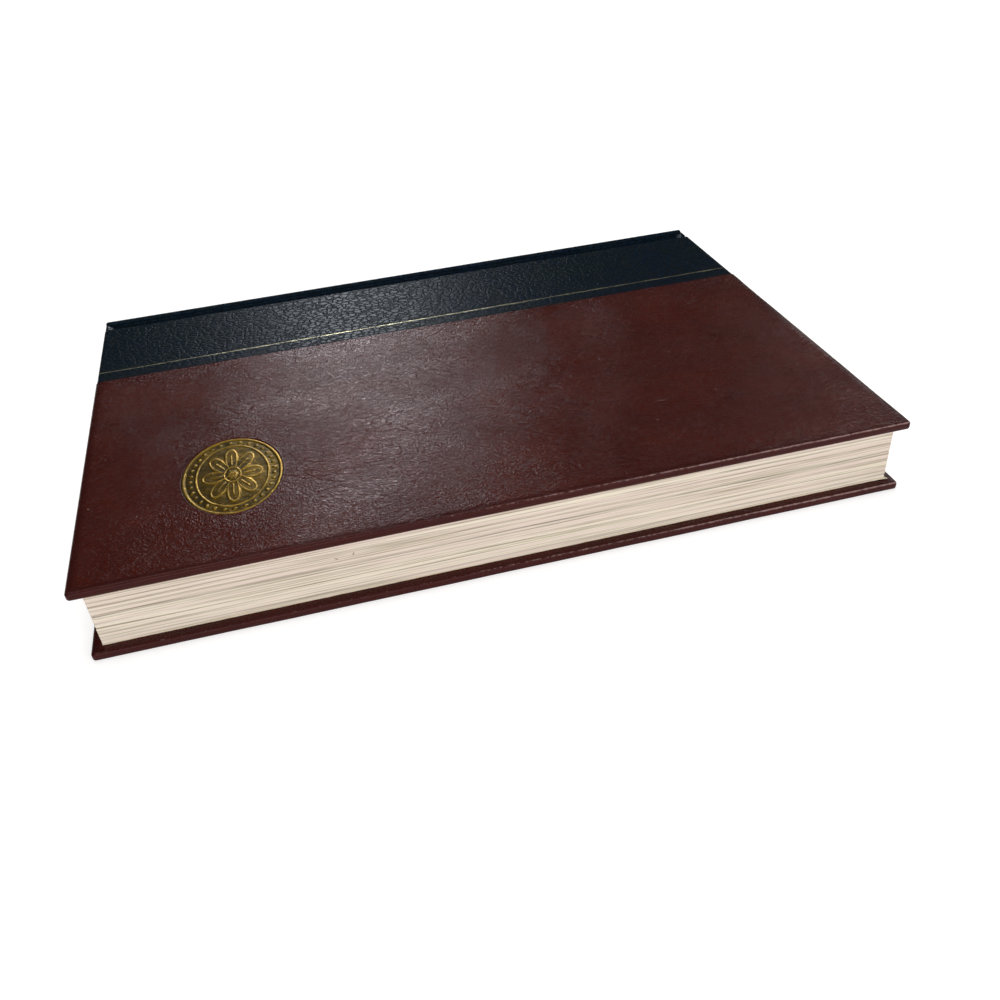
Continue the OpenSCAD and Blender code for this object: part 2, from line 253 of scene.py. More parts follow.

# %% [markdown]
# ### Brown leather
# Calf split, stained red-brown and glazed to a satin coat. The eye reads a fine net of
# wrinkles about 1 mm apart, longer creases where the hide was folded, and patches of
# darker stain. The wrinkles are the lines along which a soft noise crosses its middle
# value, and the creases are cell walls; both are worked out in bent coordinates, so
# that they flow and bunch as in hide. The glaze is rubbed off in the wrinkles, so they
# stay matt, and only the pads between them shine; the wrinkles and creases are also
# painted darker, as painted shade. Along the edges the leather is a dull pink, partly
# rubbed stain and partly a painted highlight on the side of each edge that faces up;
# that place is stored on the surface. Close to the edge the leather is stretched
# smooth, which is stored as `rim`; there the colour is also painted darker, as painted
# shade on the edge band.

# %% Wrinkles and creases of the brown leather
def brown_relief(add, place, rim):
    """The bumped normal, and the share of pad at each point. Pads rise with the distance of a noise from its
    middle value, creases sink along cell walls where a broad noise lets them, and the rim is calmer."""
    flow = bent(add, place, 40 * MM, 10 * MM)
    lay = add("Mapping", {"Vector": flow, "Rotation": (0, 0, 0.5), "Scale": (0.75, 1, 1)})
    net = bent(add, lay, 1.5 * MM, 0.6 * MM)
    waves = add("TexNoise", {"Vector": net, "Scale": 1 / (1.1 * MM), "Detail": 2, "Roughness": 0.6})
    fine = add("TexNoise", {"Vector": net, "Scale": 1 / (0.6 * MM), "Detail": 3, "Roughness": 0.6})
    off_line = add("Math", {"operation": "SUBTRACT", 0: waves, 1: 0.5})
    off_line = add("Math", {"operation": "ABSOLUTE", 0: off_line})
    pads = add("MapRange", [off_line, 0, 0.16])
    grain = add("Math", {"operation": "MULTIPLY_ADD", 0: pads, 1: 0.8, 2: fine})
    grain = add("Math", {"operation": "MULTIPLY", 0: grain, 1: add("MapRange", [rim, 0, 1, 1, 0.3])})
    across = add("Mapping", {"Vector": flow, "Rotation": (0, 0, 0.7), "Scale": (0.35, 1, 1)})
    folds = bent(add, across, 4 * MM, 1.5 * MM)
    walls = add("TexVoronoi", {"feature": "DISTANCE_TO_EDGE", "Vector": folds, "Scale": 1 / (4.5 * MM)})
    patchy = add("TexNoise", {"Vector": place, "Scale": 1 / (34 * MM), "Detail": 1})
    crease = add("Math", {"operation": "MAXIMUM", 0: add("MapRange", [walls, 0, 0.09]),
                          1: add("MapRange", [patchy, 0.38, 0.62, 1, 0])})
    folded = add("Bump", {"Height": crease, "Distance": 0.07 * MM})
    normal = add("Bump", {"Height": grain, "Distance": 0.075 * MM, "Normal": folded})
    return normal, add("Math", {"operation": "MULTIPLY", 0: add("MapRange", [off_line, 0, 0.07, 0.25]),
                                1: add("MapRange", [crease, 0, 1, 0.8])})


print("wrinkles 1.1 mm and creases 4.5 mm apart")

# %% Brown leather
scratches = [(62 * MM, -52.5 * MM, -0.03, 4.4 * MM),           # x, y, angle and length
             (56 * MM, -63.8 * MM, 0.35, 1.8 * MM), (82 * MM, -52 * MM, -1.1, 2 * MM)]


def brown_leather():
    """Stain in three tones, darker in the wrinkles and on the edge band as painted shade, and pale pink along
    the edges, partly rubbed and partly a painted highlight, and rubbed to pink in the scratches, which are
    thin ellipsoids. The glaze is rougher in the wrinkles."""
    material, add, shader, place = finish("glazed_brown_calf", {
        "IOR": 1.45, "Specular IOR Level": 0.19, "Specular Tint": "#ffcfd8"})
    rim = add("Attribute", {"attribute_name": "rim"}, "Fac")
    normal, pad = brown_relief(add, place, rim)
    stain = add("TexNoise", {"Vector": place, "Scale": 1 / (26 * MM), "Detail": 4, "Distortion": 0.4})
    colour = add("ValToRGB", {"Fac": stain, "stops": [(0.3, "#3b110a"), (0.5, "#42140b"), (0.7, "#4b1a0f")]})
    # Wrinkles and creases painted darker: painted shade.
    colour = add("Mix", {"data_type": "RGBA", 0: pad, 6: "#270e0b", 7: colour}, 2)
    # Pale pink along the edges: partly rubbed leather, partly a painted highlight.
    worn_and_highlit = wear_and_highlight_share(add, place, 1.6 * MM, 1.22, 1.55, 0.85)
    for x, y, angle, length in scratches:
        line = add("Mapping", {"vector_type": "TEXTURE", "Vector": place, "Rotation": (0, 0, angle),
                               "Location": (x, y, 26 * MM), "Scale": (length / 2, 0.25 * MM, 3 * MM)})
        line = add("VectorMath", {"operation": "LENGTH", 0: line}, "Value")
        line = add("MapRange", [line, 0.5, 1, 0.75, 0])
        worn_and_highlit = add("Math", {"operation": "MAXIMUM", 0: worn_and_highlit, 1: line})
    # The edge band is painted darker, as painted shade; then the pale pink goes on top.
    edge_shade = add("Math", {"operation": "MULTIPLY", 0: rim, 1: 0.6})
    for share, shade in ((edge_shade, "#2c1110"), (worn_and_highlit, "#957c7a")):
        colour = add("Mix", {"data_type": "RGBA", 0: share, 6: colour, 7: shade}, 2)
    glaze = add("TexNoise", {"Vector": place, "Scale": 1 / (5 * MM), "Detail": 3})
    rough = add("Math", {"operation": "ADD", 0: add("MapRange", [glaze, 0.3, 0.7, 0.19, 0.25]),
                         1: add("MapRange", [pad, 0, 1, 0.15, 0])})
    fill(shader, {"Base Color": colour, "Roughness": rough, "Normal": normal})
    return material


brown = brown_leather()
print("made", brown.name, "with", len(brown.node_tree.nodes), "nodes")

# %% [markdown]
# ### Black leather
# Pebble-grained goat, nearly black with a blue cast. The pebbles are 1 to 2 mm across
# and domed, with narrow valleys between, so the grain is the distance to the cell
# walls, rounded off by a smooth step. The valleys stay matt and are painted darker, as
# painted shade, and the tops shine.

# %% Black leather
def black_leather():
    """Domes from the distance to cell walls, with fine noise on them; they also set colour and roughness."""
    material, add, shader, place = finish("pebbled_black_goat", {
        "IOR": 1.45, "Specular IOR Level": 0.056, "Specular Tint": "#d4e9ff"})
    pushed = bent(add, place, 2.4 * MM, 0.6 * MM)
    lay = add("Mapping", {"Vector": pushed, "Rotation": (0, 0, 0.35), "Scale": (0.8, 1, 1)})
    walls = add("TexVoronoi", {"feature": "DISTANCE_TO_EDGE", "Vector": lay, "Scale": 1 / (2.2 * MM)})
    domes = add("MapRange", {"interpolation_type": "SMOOTHSTEP", "Value": walls, "From Max": 0.2})
    fine = add("TexNoise", {"Vector": place, "Scale": 1 / (0.7 * MM), "Detail": 2, "Roughness": 0.6})
    grain = add("Math", {"operation": "MULTIPLY_ADD", 0: fine, 1: 0.3, 2: domes})
    # Valleys painted darker than the tops: painted shade.
    colour = add("ValToRGB", {"Fac": domes, "stops": [(0.2, "#050c13"), (0.8, "#0a1826")]})
    tint = add("TexNoise", {"Vector": place, "Scale": 1 / (18 * MM), "Detail": 2})
    for share, shade in ((add("MapRange", [tint, 0.4, 0.75, 0, 0.7]), "#0c1819"),
                         (wear_and_highlight_share(add, place, 2.6 * MM, 1.28, 1.6, 0.6), "#4d5a68")):
        colour = add("Mix", {"data_type": "RGBA", 0: share, 6: colour, 7: shade}, 2)
    fill(shader, {"Base Color": colour, "Roughness": add("MapRange", [domes, 0, 1, 0.5, 0.3]),
                  "Normal": add("Bump", {"Height": grain, "Distance": 0.07 * MM})})
    return material


black = black_leather()
print("made", black.name, "with", len(black.node_tree.nodes), "nodes")

# %% [markdown]
# ### Paper
# The trimmed edge is uncoated cream stock. Hundreds of leaf edges, too fine to draw one
# by one, show as soft level streaks, and the gaps between sections as grey lines of
# painted shade: the gaps are stored on the surface as `gap`, and a few dark specks as
# `mark`. The endpapers are the same stock seen from the front, with a faint lie of fibres.

# %% Page edges and endpapers
def page_edges():
    """Streaks are a noise drawn out 125 times along the leaves, over bands of three creams."""
    material, add, shader, place = finish("trimmed_cream_pages", {
        "Roughness": 0.85, "IOR": 1.45, "Specular IOR Level": 0.25})
    level = add("Mapping", {"Vector": place, "Scale": (0.008, 0.008, 1)})
    leaves = add("TexNoise", {"Vector": level, "Scale": 1 / (0.42 * MM), "Detail": 3, "Roughness": 0.6})
    bands = add("TexNoise", {"Vector": level, "Scale": 1 / (1.6 * MM), "Detail": 2})
    colour = add("ValToRGB", {"Fac": bands, "stops": [(0.35, "#dac9bf"), (0.5, "#e3d6c9"), (0.65, "#e7ddcb")]})
    gap, mark = (add("Attribute", {"attribute_name": name}, "Fac") for name in ("gap", "mark"))
    dim = add("MapRange", [leaves, 0.5, 0.62, 0, 0.75])
    # Gaps painted grey-brown as painted shade between sections; the specks are dirt.
    for share, shade in ((dim, "#a39a80"), (gap, "#5c5547"), (mark, "#6d5c4c")):
        colour = add("Mix", {"data_type": "RGBA", 0: share, 6: colour, 7: shade}, 2)
    normal = add("Bump", {"Height": leaves, "Distance": 0.05 * MM, "Strength": 0.7})
    fill(shader, {"Base Color": colour, "Normal": normal})
    return material


def endpaper_stock():
    """Fibres are a fine noise drawn out one way, over a slow change of cream."""
    material, add, shader, place = finish("cream_wove_endpaper", {
        "Roughness": 0.8, "IOR": 1.45, "Specular IOR Level": 0.3})
    lie = add("Mapping", {"Vector": bent(add, place, 5 * MM, 2 * MM), "Scale": (0.4, 1, 1)})
    fibres = add("TexNoise", {"Vector": lie, "Scale": 1 / (0.6 * MM), "Detail": 4, "Roughness": 0.65})
    tone = add("TexNoise", {"Vector": place, "Scale": 1 / (45 * MM), "Detail": 2})
    colour = add("ValToRGB", {"Fac": tone, "stops": [(0.3, "#e4d7bf"), (0.7, "#eee4d0")]})
    dim = add("MapRange", [fibres, 0.4, 0.7, 0, 0.2])
    colour = add("Mix", {"data_type": "RGBA", 0: dim, 6: colour, 7: "#c4b291"}, 2)
    fill(shader, {"Base Color": colour, "Normal": add("Bump", {"Height": fibres, "Distance": 0.04 * MM})})
    return material


pages_finish, endpaper = page_edges(), endpaper_stock()
print("made", pages_finish.name, "and", endpaper.name)

# %% [markdown]
# ### Board, lining and cloths
# Binder's board and kraft lining are pulp with short fibres and flecks. The mull is a
# starched open cotton weave. The headband is wound silk in two colours, told apart by
# `stripe` on the surface.

# %% Pulp and woven finishes
def pulp(name, base, fleck, size):
    """Fibres are a noise of the given size, and its high parts are the flecks."""
    material, add, shader, place = finish(name, {"Roughness": 0.9, "IOR": 1.45, "Specular IOR Level": 0.25})
    fibre = add("TexNoise", {"Vector": place, "Scale": 1 / size, "Detail": 5, "Roughness": 0.7})
    flecks = add("MapRange", [fibre, 0.42, 0.7])
    fill(shader, {"Base Color": add("Mix", {"data_type": "RGBA", 0: flecks, 6: base, 7: fleck}, 2),
                  "Normal": add("Bump", {"Height": fibre, "Distance": 0.08 * MM})})
    return material


def open_cotton():
    """Threads 0.9 mm apart both ways: the smaller of two sines is high in the openings."""
    material, add, shader, place = finish("open_cotton_mull", {"Roughness": 0.9, "Sheen Weight": 0.2})
    axes = add("SeparateXYZ", {"Vector": place}).node.outputs
    waves = []
    for axis in (axes[0], add("Math", {"operation": "ADD", 0: axes[1], 1: axes[2]})):
        phase = add("Math", {"operation": "MULTIPLY", 0: axis, 1: math.pi / (0.9 * MM)})
        wave = add("Math", {"operation": "SINE", 0: phase})
        waves.append(add("Math", {"operation": "ABSOLUTE", 0: wave}))
    opening = add("Math", {"operation": "MINIMUM", 0: waves[0], 1: waves[1]})
    colour = add("ValToRGB", {"Fac": opening, "stops": [(0.3, "#cfc3a6"), (0.75, "#8b8068")]})
    normal = add("Bump", {"Height": opening, "Distance": 0.15 * MM, "invert": True})
    fill(shader, {"Base Color": colour, "Normal": normal})
    return material


def wound_silk():
    """Two colours by the stored stripe, and threads from a fine noise that darkens between them."""
    material, add, shader, place = finish("wound_silk_headband", {"Roughness": 0.55, "Sheen Weight": 0.3})
    threads = add("TexNoise", {"Vector": place, "Scale": 1 / (0.25 * MM), "Detail": 3})
    stripe = add("Attribute", {"attribute_name": "stripe"}, "Fac")
    dim = add("MapRange", [threads, 0.4, 0.7, 0, 0.4])
    colour = "#d8c79a"
    for share, shade in ((stripe, "#7c3a26"), (dim, "#54402a")):
        colour = add("Mix", {"data_type": "RGBA", 0: share, 6: colour, 7: shade}, 2)
    fill(shader, {"Base Color": colour, "Normal": add("Bump", {"Height": threads, "Distance": 0.06 * MM})})
    return material


greyboard = pulp("grey_binders_board", "#8f897d", "#6c675e", 0.9 * MM)
kraft = pulp("kraft_lining_paper", "#a07f57", "#7f623f", 0.7 * MM)
mull, silk = open_cotton(), wound_silk()
print("made", greyboard.name, kraft.name, mull.name, silk.name)

# %% [markdown]
# ### Gold foil
# Hot-stamped foil is a film of metal pressed so hard into the leather that the
# leather's wrinkles break up its shine. It has rubbed through to the dark leather in
# specks. Its raised lines are a paler gold, partly burnished and partly a painted
# highlight, and their share is stored on the surface.

# %% Gold foil
def gold_foil(name, deep, bright, raised, smooth, depth):
    """Metal in two tones of gold over wrinkles 1.1 mm apart. raised is the paler tone of the raised lines,
    partly burnish and partly painted highlight, smooth the lowest roughness, and depth the height of the
    wrinkles."""
    material, add, shader, place = finish(name, {"Metallic": 1})
    pushed = bent(add, place, 3 * MM, 1.5 * MM)
    lay = add("Mapping", {"Vector": pushed, "Rotation": (0, 0, 0.2), "Scale": (0.4, 1, 1)})
    waves = add("TexNoise", {"Vector": lay, "Scale": 1 / (1.1 * MM), "Detail": 2, "Roughness": 0.5})
    patches = add("TexNoise", {"Vector": place, "Scale": 1 / (7 * MM), "Detail": 2})
    tone = add("Math", {"operation": "MULTIPLY_ADD", 0: patches, 1: 0.8, 2: waves})
    # Raised lines a paler gold: partly burnish, partly painted highlight.
    polish = add("Attribute", {"attribute_name": "polish"}, "Fac")
    rubbed = add("TexNoise", {"Vector": place, "Scale": 1 / (2.4 * MM), "Detail": 5, "Roughness": 0.75})
    colour = deep
    for share, shade in ((add("MapRange", [tone, 0.75, 1.1]), bright), (polish, raised),
                         (add("MapRange", [rubbed, 0.6, 0.72, 0, 0.6]), "#3c2a14")):
        colour = add("Mix", {"data_type": "RGBA", 0: share, 6: colour, 7: shade}, 2)
    rough = add("MapRange", [waves, 0.3, 0.7, smooth + 0.12, smooth])
    fill(shader, {"Base Color": colour, "Roughness": rough,
                  "Normal": add("Bump", {"Height": waves, "Distance": depth})})
    return material


seal_gold = gold_foil("stamped_gold_foil", "#413304", "#765a0b", "#a68331", 0.27, 0.09 * MM)
line_gold = gold_foil("tooled_gold_line", "#75705a", "#b5ae8c", "#b5ae8c", 0.35, 0.05 * MM)
print("made", seal_gold.name, "and", line_gold.name)

# %% [markdown]
# ## Surfaces from arrays
# Every new piece is one or more grids of points, worked out as whole arrays and joined
# into one mesh. A grid's faces look along its rows crossed with its columns. Open
# borders are marked sharp, so that the thickness added later doesn't bend the shading
# there. `hide` is the slight swell of leather glued over board: a sum of sine waves
# with random directions.

# %% Meshes from grids
weld_distance = 0.002 * MM
crease_angle = math.radians(50)


def grid(x, y, z):
    """Points of a grid: three coordinates, each spread over all its rows and columns."""
    return np.stack(np.broadcast_arrays(x, y, z), -1)


def quads(rows, columns, first, left_out=None):
    """Corners of each face of a grid of points that is numbered row by row from first."""
    i, j = np.meshgrid(np.arange(rows - 1), np.arange(columns - 1), indexing="ij")
    a = first + i * columns + j
    faces = np.stack([a, a + columns, a + columns + 1, a + 1], -1)
    return faces.reshape(-1, 4) if left_out is None else faces[~left_out]


def surface(name, grids, fields=None, side=1, left_out=None):
    """One mesh from grids of points, welded where they meet. Heights are above the book's middle, and below
    it where side is -1. fields holds values per point, one array for each grid."""
    faces, count = [], 0
    for n, points in enumerate(grids):
        faces.append(quads(*points.shape[:2], count, (left_out or {}).get(n)))
        count += points.shape[0] * points.shape[1]
    points = np.concatenate([g.reshape(-1, 3) for g in grids])
    points[:, 2] = middle + side * points[:, 2]
    mesh = bpy.data.meshes.new(name)
    mesh.from_pydata(points, [], np.concatenate(faces).tolist())
    for field, arrays in (fields or {}).items():
        values = np.concatenate([np.broadcast_to(a, g.shape[:2]).ravel() for a, g in zip(arrays, grids)])
        mesh.attributes.new(field, "FLOAT", "POINT").data.foreach_set("value", values.astype(np.float32))
    shape = bmesh.new()
    shape.from_mesh(mesh)
    bmesh.ops.remove_doubles(shape, verts=shape.verts, dist=weld_distance)
    bmesh.ops.delete(shape, geom=[v for v in shape.verts if not v.link_faces], context="VERTS")
    if side < 0:
        bmesh.ops.reverse_faces(shape, faces=shape.faces)
    shape.to_mesh(mesh)
    shape.free()
    mesh.polygons.foreach_set("use_smooth", np.ones(len(mesh.polygons), bool))
    mesh.set_sharp_from_angle(angle=crease_angle)
    edges, sharp = np.zeros(len(mesh.loops), int), np.zeros(len(mesh.edges), bool)
    mesh.loops.foreach_get("edge_index", edges)
    mesh.edges.foreach_get("use_edge_sharp", sharp)
    open_border = np.bincount(edges, minlength=len(mesh.edges)) == 1
    mesh.edges.foreach_set("use_edge_sharp", sharp | open_border)
    piece = bpy.data.objects.new(name, mesh)
    scene.collection.objects.link(piece)
    return piece


def thicken(piece, thickness):
    """Gives a surface its thickness, away from the side that it faces."""
    shell = piece.modifiers.new("thickness", "SOLIDIFY")
    shell.thickness, shell.offset = thickness, -1
    return piece


def dress(piece, material, slot, *nodes):
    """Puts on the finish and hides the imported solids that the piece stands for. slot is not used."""
    piece.data.materials.append(material)
    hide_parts(*nodes)
    return piece


print("mesh helpers ready")


# %% Functions that shape the grids
def stations(*stops):
    """Places along a line: each stop is a place and the step up to the next stop."""
    runs = [np.linspace(a, b, max(1, round(abs(b - a) / gap)), endpoint=False)
            for (a, gap), (b, _) in zip(stops, stops[1:])]
    return np.append(np.concatenate(runs), stops[-1][0])


def step(value, start, end):
    """Smooth step from 0 at start to 1 at end."""
    t = np.clip((value - start) / (end - start), 0, 1)
    return t * t * (3 - 2 * t)


def bell(value, centre, width):
    """Bell curve: e to the power of minus the square of the distance from the centre in widths."""
    return np.exp(-((value - centre) / width) ** 2)


def rod(distance, half):
    """Height of a half-round rod over its half width: 1 on its middle line, 0 from its foot on."""
    return np.sqrt(np.clip(1 - (distance / half) ** 2, 0, 1))


def capped(values, end):
    """One more column at each end of a grid, all of one value, so that a tube closes on a point."""
    column = np.full_like(values[:, :1], end)
    return np.concatenate([column, values, column], 1)


def hide(x, y, size, seed, waves=22):
    """Smooth relief, about -1 to 1: sine waves of about the given length in random directions."""
    angle, length, phase = np.random.default_rng(seed).uniform((0, 0.7, 0), (2 * np.pi, 1.5, 2 * np.pi),
                                                               (waves, 3)).T
    along = x[..., None] * np.cos(angle) + y[..., None] * np.sin(angle)
    return np.sin(along * 2 * np.pi / (size * length) + phase).sum(-1) / math.sqrt(waves)


print("stations from 0 to 1 by 0.25:", stations((0, 0.25), (1, 0)))

# %% [markdown]
# ## Brown leather sides
# On the real cover one sheet of leather lies over the board, is pulled round three
# edges and turned in, and its corners are mitred. A box with bevels would miss the
# mitres and the turn-ins, so the edge is a profile (height against distance from the
# edge) carried along a U-shaped path: from the seam at the tail, round the fore edge,
# to the seam at the head. The middle of the cover is a plain grid, whose border points
# are the same as the inner end of that profile, so that the two weld.

# %% Plan and profile of the covered edge
border = 6 * MM                      # where the edge strip meets the grid on top
near_corner = stations((0, 0.15 * MM), (0.6 * MM, 0.3 * MM), (1.8 * MM, 0.6 * MM), (4.2 * MM, 0))
quarter = np.radians(stations((0, 15), (90, 0)))


def toward_corner(length):
    """Fractions of a straight edge from its far end to a corner, closer together at the corner."""
    far = stations((0, 1.25 * MM), (length - near_corner[-1], 0))
    return np.concatenate([far[:-1], length - near_corner[::-1]]) / length


side_run = toward_corner(seam - fore - plan_corner)
half_run = toward_corner(half_height - plan_corner)
fore_run = np.concatenate([-half_run[::-1], half_run[1:]])


def u_path(inset):
    """U-shaped outline at each inset from the cover's edge: rows along it, a column for each inset. A corner
    is an arc of the cover's corner radius less the inset, and a plain mitre point further in."""
    inset = np.atleast_1d(inset)[None, :]
    centre = np.maximum(inset, plan_corner)
    radius = np.maximum(plan_corner - inset, 0)
    run, across, a = side_run[:, None], fore_run[:, None], quarter[1:-1, None]
    side_y = seam + (fore + centre - seam) * run
    side_x = half_height - inset + 0 * run
    arc_x = half_height - centre + radius * np.sin(a)
    arc_y = fore + centre - radius * np.cos(a)
    x = np.concatenate([-side_x, -arc_x[::-1], (half_height - centre) * across, arc_x, side_x])
    y = np.concatenate([side_y, arc_y[::-1], fore + inset + 0 * across, arc_y, side_y[::-1]])
    return x, y


r = edge_round
under = turn_in_width - stations((0, 2.5 * MM), (10 * MM, 0.6 * MM), (turn_in_width - r, 0))[:-1]
over = stations((r, 0.45 * MM), (3 * MM, 1 * MM), (border, 0))[1:]
edge_inset = np.concatenate([under, r - r * np.sin(quarter), r - r * np.cos(quarter), over])
edge_level = np.concatenate([0 * under + turn_in_level, turn_in_level + r - r * np.cos(quarter),
                             brown_top - r + r * np.sin(quarter), 0 * over + brown_top])
print(len(u_path(0)[0]), "places along the edge,", len(edge_inset), "round it")

# %% [markdown]
# The stamp of the seal presses an oval recess into the front. A grid can't follow an
# oval, so a rectangle of faces is left out of it, and the rectangle's border points
# are carried inwards, each to the oval at its own angle: over a slightly raised lip,
# down the wall, and onto the floor under the foil.

# %% Recess for the seal
seal_middle = (seal_low[:2] + seal_high[:2]) / 2
seal_half = (seal_high[:2] - seal_low[:2]) / 2
recess_reach = 4.5 * MM              # from the oval to the rectangle that is left out
recess_out = np.array([2.2, 1.5, 1.0, 0.7, 0.45, 0.28, 0.14, 0.06, 0, -0.06, -0.2, -0.8, -2.0]) * MM
recess_drop = np.array([0, 0, 0, 0.02, 0.04, 0.05, 0.03, -0.06, -0.2, -0.34, -0.4, -0.4, -0.4]) * MM


def swell(x, y, seed):
    """Height of the glued leather's slight swell and of its longer creases."""
    return 0.05 * MM * hide(x, y, 38 * MM, seed) + 0.02 * MM * hide(x, y, 9 * MM, seed + 1)


def recess_patch(x, y, out):
    """Strips from the border of the left-out rectangle, anticlockwise, to the oval and down into it: points
    along straight lines first, then points at each distance of recess_out from the oval."""
    i, j = np.flatnonzero(out.any(1)), np.flatnonzero(out.any(0))
    i, j = np.append(i, i[-1] + 1), np.append(j, j[-1] + 1)
    loop_i = np.concatenate([i[:-1], 0 * j[:-1] + i[-1], i[:0:-1], 0 * j + i[0]])
    loop_j = np.concatenate([0 * i[:-1] + j[0], j[:-1], 0 * i[:0:-1] + j[-1], j[::-1]])
    px, py = x[loop_i, loop_j][:, None], y[loop_i, loop_j][:, None]
    angle = np.arctan2((py - seal_middle[1]) / seal_half[1], (px - seal_middle[0]) / seal_half[0])
    ox = seal_middle[0] + (seal_half[0] + recess_out) * np.cos(angle)
    oy = seal_middle[1] + (seal_half[1] + recess_out) * np.sin(angle)
    share = np.array([0, 0.35, 0.7])
    drop = np.concatenate([0 * share, recess_drop])[None, :] + 0 * px
    return (np.concatenate([px + (ox[:, :1] - px) * share, ox], 1),
            np.concatenate([py + (oy[:, :1] - py) * share, oy], 1), drop)


print("oval", np.round(2e3 * seal_half, 1), "mm")

# %% [markdown]
# The top of the cover falls a little towards its edge. Inside, the two flaps of a mitre
# meet in a groove, and one lies a little proud. The outer edge is pale pink, most of all
# the fore edge towards the head: partly rubbed leather and partly a painted highlight.

# %% Leather for one side
edge_fall, edge_fall_width = 0.13 * MM, 1.5 * MM
mitre_depth, mitre_width, flap_step = 0.16 * MM, 0.28 * MM, 0.1 * MM


def brown_side(cover, side, seed):
    """The brown leather of one cover: the edge strip, the grid on top, and the recess on the front. The fall
    and the mitre are bell curves of the distances from the edge and from the mitre's line."""
    x, y = u_path(edge_inset)
    on_top = step(edge_level, brown_top - r, brown_top)
    turned = 1 - step(edge_level, turn_in_level, turn_in_level + r)
    turned = turned * step(edge_inset, 0.7 * MM, 1.6 * MM)
    mitre = 0.5 * (half_height - np.abs(x)) - (y - fore)
    z = edge_level + on_top * (swell(x, y, seed) - edge_fall * bell(edge_inset, 0, edge_fall_width))
    z = z + turned * (mitre_depth * bell(mitre, 0, mitre_width) - flap_step * step(mitre, -0.1 * MM, 0.3 * MM)
                      + 0.02 * MM * hide(x, y, 6 * MM, seed + 5))
    # Pale pink on the side of each edge that faces up, growing along the fore edge towards the head: partly
    # rubbed leather, partly a painted highlight.
    upper = side * (edge_level - (brown_top + turn_in_level) / 2) > 0
    fore_edge = step(fore - y, -3 * MM, -1 * MM)
    more = fore_edge * (0.2 * step(x, -0.04, 0.02) + 0.22 * step(x, 0.02, 0.1))
    wear = bell(edge_inset, 0.4 * MM, 0.4 * MM) * upper * (0.68 + more)
    # Share of the edge band: calmer grain there, and a darker colour as painted shade.
    rim = 1 - step(edge_inset, 1.2 * MM, 3.2 * MM) + 0 * x
    gx, gy = np.meshgrid((half_height - border) * fore_run, y[:len(side_run), -1][::-1], indexing="ij")
    grids = [grid(x, y, z), grid(gx, gy, brown_top + swell(gx, gy, seed))]
    fields, left_out = {"wear": [wear, 0 * gx], "rim": [rim, 0 * gx]}, {}
    if side > 0:
        face_x, face_y = (gx[1:, 1:] + gx[:-1, :-1]) / 2, (gy[1:, 1:] + gy[:-1, :-1]) / 2
        left_out[1] = (np.abs(face_x - seal_middle[0]) < seal_half[0] + recess_reach) & \
            (np.abs(face_y - seal_middle[1]) < seal_half[1] + recess_reach)
        px, py, drop = recess_patch(gx, gy, left_out[1])
        grids.append(grid(px, py, brown_top + swell(px, py, seed) * step(drop, -0.3 * MM, 0) + drop))
        # The raised lip's crest gets pale pink as a painted highlight, and the edge band's calmer grain and
        # painted shade.
        fields["wear"].append(0.75 * step(drop, 0.015 * MM, 0.045 * MM))
        fields["rim"].append(0.6 * step(drop, 0, 0.03 * MM))
    return thicken(surface(f"{cover}_brown_leather", grids, fields, side, left_out), skin)


for (cover, side), seed in zip(covers, (11, 41)):
    piece = dress(brown_side(cover, side, seed), brown, "brown_leather", cover + "_side_leather")
    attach(piece, cover + "_cover")
    print(piece.name, len(piece.data.polygons), "faces")

# %% [markdown]
# ## Black leather
# One sheet runs from under the brown edge, across the board, down into the joint
# groove, up over the ridge and across the spine to the other cover. It is made in two
# halves that meet in the middle of the spine, one for each joint, which on the real book
# bends with its own cover. A half is a path across the book for the outside and a second
# path for the turned-in side; at head and tail the surface rolls over from one to the
# other. Each half has its points closest together within about a millimetre behind the
# cover's back edge, the only place where the arch of leather over the ridge stays clear
# of it.

# %% Paths across the book
bend_start, bend_end = cover_back + 1.15 * MM, cover_back + 0.05 * MM
ridge_foot = cover_back + groove_width
ridge_r = (spine_back - ridge_foot) / 2
fillet = 0.6 * MM
line_middle, line_half = (line_low[1] + line_high[1]) / 2, (line_high[1] - line_low[1]) / 2


def arc(cy, cz, radius, start, end, count):
    """Points along an arc in the Y-Z plane, in degrees from +Y towards +Z."""
    a = np.radians(np.linspace(start, end, count + 1))
    return np.stack([cy + radius * np.cos(a), cz + radius * np.sin(a)], -1)


flat = stations((seam + 0.25 * MM, 1.2 * MM), (line_middle - 1.2 * MM, 0.15 * MM),
                (line_middle + 1.2 * MM, 1.2 * MM), (cover_back - shoulder, 0))[:-1]
floor_y = stations((cover_back + fillet, 0.045 * MM), (bend_start, 0.8 * MM), (ridge_foot - fillet, 0))[1:-1]
spine_z = stations((black_top - ridge_r, 2.4 * MM), (0, 0))[1:]
outside = np.concatenate([
    [(seam - lap_width, lap_level), (seam - 0.2 * MM, lap_level)],
    np.stack([flat, 0 * flat + black_top], -1),
    arc(cover_back - shoulder, black_top - shoulder, shoulder, 90, 0, 9),
    arc(cover_back + fillet, joint_top + fillet, fillet, 180, 270, 14),
    np.stack([floor_y, 0 * floor_y + joint_top], -1),
    arc(ridge_foot - fillet, joint_top + fillet, fillet, 270, 360, 6),
    arc(ridge_foot + ridge_r, black_top - ridge_r, ridge_r, 180, 0, 14),
    np.stack([0 * spine_z + spine_back, spine_z], -1)])
oy, oz = outside.T
turned_y = np.where(oy > ridge_foot - 1e-6, ridge_foot + 0.2 * MM, oy)
turned_z = np.where(oy < cover_back, turn_in_level + skin * (oy < seam), np.minimum(joint_under, oz))
black_ends = black_half - 0.25 * MM * (oy < seam)
